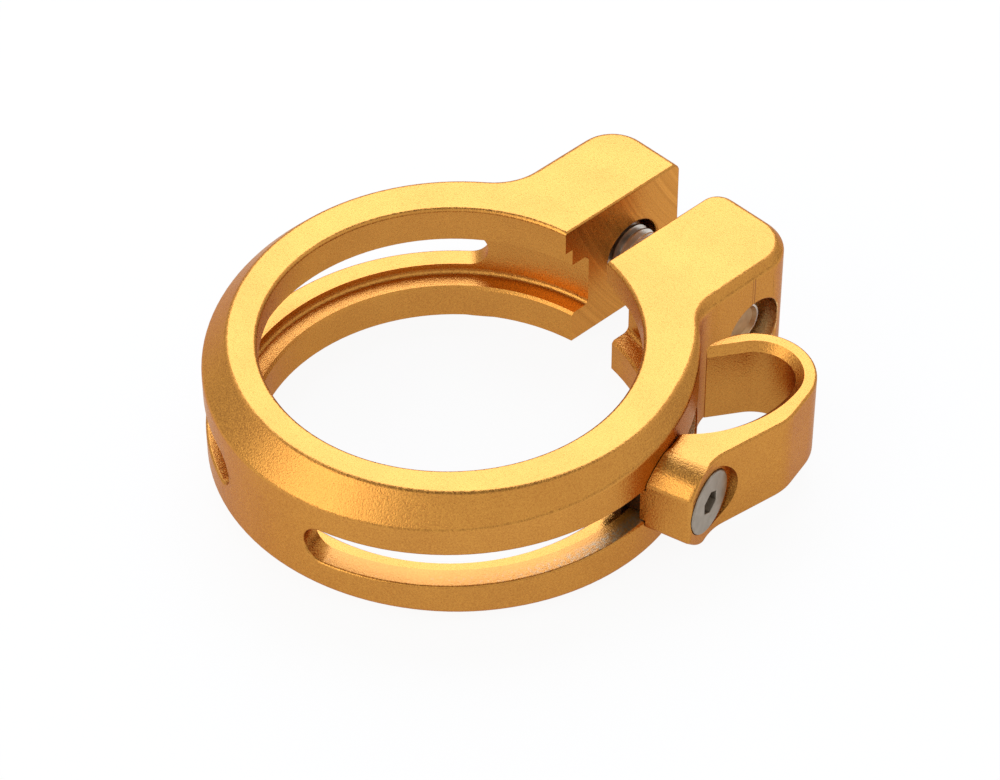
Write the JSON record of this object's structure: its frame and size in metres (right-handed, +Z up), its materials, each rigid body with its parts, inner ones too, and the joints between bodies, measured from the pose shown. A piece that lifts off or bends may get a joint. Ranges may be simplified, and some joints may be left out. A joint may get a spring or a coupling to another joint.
{
  "type": "seatpost clamp",
  "caption": "Seatpost clamp: a slotted ring with a stepped bore and clamping ears closed by a cap screw, with a hooked cable guide that slides along its side slot.",
  "frame": {"origin": "on the bore's axis, at the bottom face that points down the seat tube", "axes": "+Z up along the bore's axis, +Y towards the clamping ears, +X towards the cable guide's side"},
  "size_m": [0.0472, 0.0525, 0.0134],
  "materials": {
    "gold_anodised": "bead-blasted gold anodised",
    "stainless": "bright stainless",
    "dark_steel": "black oxide"
  },
  "bodies": {
    "collar": {"collar": "gold_anodised"},
    "clamp_screw": {"clamp_bolt": "stainless"},
    "guide": {"cable_guide": "gold_anodised", "guide_nut": "dark_steel"},
    "guide_screw": {"guide_bolt": "stainless"}
  },
  "joints": [
    {"name": "clamp_screw_turn", "type": "hinge", "parent": "collar", "child": "clamp_screw", "pos_m": [0, 0.025, 0.0063], "axis": [1, 0, 0], "continuous": true},
    {"name": "guide_slide", "type": "hinge", "parent": "collar", "child": "guide", "pos_m": [0, 0, 0.0063], "axis": [0, 0, 1], "range_deg": [-80, 3]},
    {"name": "guide_screw_turn", "type": "hinge", "parent": "guide", "child": "guide_screw", "pos_m": [0.02473, 0.00663, 0.0063], "axis": [0.9659, 0.2588, 0], "continuous": true}
  ]
}
